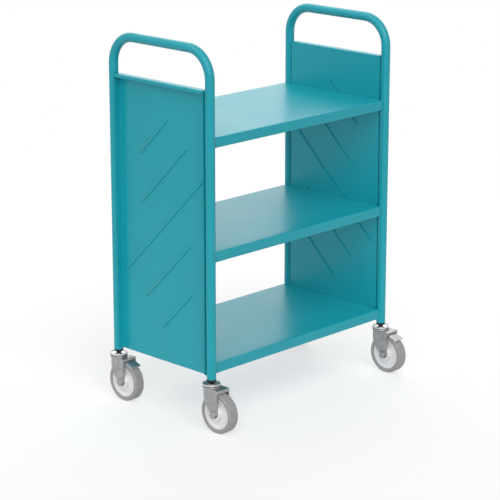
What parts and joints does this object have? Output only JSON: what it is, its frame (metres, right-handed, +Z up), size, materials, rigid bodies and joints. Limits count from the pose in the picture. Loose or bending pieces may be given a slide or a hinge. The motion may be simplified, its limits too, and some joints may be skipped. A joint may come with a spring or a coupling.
{
  "type": "book trolley",
  "caption": "Book trolley with folded sheet shelves between bent-tube end frames, beaded sheet end panels and swivel castors, some of them with foot brakes.",
  "frame": {"origin": "on the floor, below the middle of the four wheels", "axes": "+X along the shelves to the right, +Y to the rear, +Z up"},
  "size_m": [0.7318, 0.466, 1.0129],
  "materials": {
    "powder_coat": "teal semi-gloss powder coat",
    "zinc": "bright zinc plate",
    "black_plastic": "moulded",
    "wheel_plastic": "moulded, pale grey",
    "tyre_rubber": "grey non-marking rubber",
    "shoe_steel": "dark steel"
  },
  "bodies": {
    "trolley": {"left_end_frame": "powder_coat", "right_end_frame": "powder_coat", "left_end_panel": "powder_coat", "right_end_panel": "powder_coat", "top_shelf": "powder_coat", "middle_shelf": "powder_coat", "bottom_shelf": "powder_coat", "front_left_tube_plug": "black_plastic", "front_left_stem_bolt": "zinc", "front_left_king_pin": "zinc", "front_left_swivel_cup": "zinc", "front_right_tube_plug": "black_plastic", "front_right_stem_bolt": "zinc", "front_right_king_pin": "zinc", "front_right_swivel_cup": "zinc", "rear_left_tube_plug": "black_plastic", "rear_left_stem_bolt": "zinc", "rear_left_king_pin": "zinc", "rear_left_swivel_cup": "zinc", "rear_right_tube_plug": "black_plastic", "rear_right_stem_bolt": "zinc", "rear_right_king_pin": "zinc", "rear_right_swivel_cup": "zinc"},
    "front_left_castor": {"front_left_fork": "zinc", "front_left_ball_ring": "zinc", "front_left_axle_bolt": "zinc", "front_left_axle_nut": "zinc", "front_left_axle_sleeve": "zinc"},
    "front_right_castor": {"front_right_fork": "zinc", "front_right_ball_ring": "zinc", "front_right_axle_bolt": "zinc", "front_right_axle_nut": "zinc", "front_right_axle_sleeve": "zinc", "front_right_pedal_pin": "zinc"},
    "rear_left_castor": {"rear_left_fork": "zinc", "rear_left_ball_ring": "zinc", "rear_left_axle_bolt": "zinc", "rear_left_axle_nut": "zinc", "rear_left_axle_sleeve": "zinc", "rear_left_pedal_pin": "zinc"},
    "rear_right_castor": {"rear_right_fork": "zinc", "rear_right_ball_ring": "zinc", "rear_right_axle_bolt": "zinc", "rear_right_axle_nut": "zinc", "rear_right_axle_sleeve": "zinc"},
    "front_left_wheel": {"front_left_wheel_core": "wheel_plastic", "front_left_tyre": "tyre_rubber"},
    "front_right_wheel": {"front_right_wheel_core": "wheel_plastic", "front_right_tyre": "tyre_rubber"},
    "rear_left_wheel": {"rear_left_wheel_core": "wheel_plastic", "rear_left_tyre": "tyre_rubber"},
    "rear_right_wheel": {"rear_right_wheel_core": "wheel_plastic", "rear_right_tyre": "tyre_rubber"},
    "front_right_pedal": {"front_right_brake_pedal": "zinc", "front_right_brake_shoe": "shoe_steel"},
    "rear_left_pedal": {"rear_left_brake_pedal": "zinc", "rear_left_brake_shoe": "shoe_steel"}
  },
  "joints": [
    {"name": "front_left_swivel", "type": "hinge", "parent": "trolley", "child": "front_left_castor", "pos_m": [-0.33625, -0.149, 0.123], "axis": [0, 0, 1], "continuous": true},
    {"name": "front_right_swivel", "type": "hinge", "parent": "trolley", "child": "front_right_castor", "pos_m": [0.33625, -0.149, 0.123], "axis": [0, 0, 1], "continuous": true},
    {"name": "rear_left_swivel", "type": "hinge", "parent": "trolley", "child": "rear_left_castor", "pos_m": [-0.33625, 0.209, 0.123], "axis": [0, 0, 1], "continuous": true},
    {"name": "rear_right_swivel", "type": "hinge", "parent": "trolley", "child": "rear_right_castor", "pos_m": [0.33625, 0.209, 0.123], "axis": [0, 0, 1], "continuous": true},
    {"name": "front_left_spin", "type": "hinge", "parent": "front_left_castor", "child": "front_left_wheel", "pos_m": [-0.33625, -0.179, 0.054], "axis": [1, 0, 0], "continuous": true},
    {"name": "front_right_spin", "type": "hinge", "parent": "front_right_castor", "child": "front_right_wheel", "pos_m": [0.33625, -0.179, 0.054], "axis": [1, 0, 0], "continuous": true},
    {"name": "rear_left_spin", "type": "hinge", "parent": "rear_left_castor", "child": "rear_left_wheel", "pos_m": [-0.33625, 0.179, 0.054], "axis": [1, 0, 0], "continuous": true},
    {"name": "rear_right_spin", "type": "hinge", "parent": "rear_right_castor", "child": "rear_right_wheel", "pos_m": [0.33625, 0.179, 0.054], "axis": [1, 0, 0], "continuous": true},
    {"name": "front_right_brake", "type": "hinge", "parent": "front_right_castor", "child": "front_right_pedal", "pos_m": [0.33625, -0.183, 0.113], "axis": [1, 0, 0], "range_deg": [0, 4.5]},
    {"name": "rear_left_brake", "type": "hinge", "parent": "rear_left_castor", "child": "rear_left_pedal", "pos_m": [-0.33625, 0.175, 0.113], "axis": [1, 0, 0], "range_deg": [0, 4.5]}
  ]
}
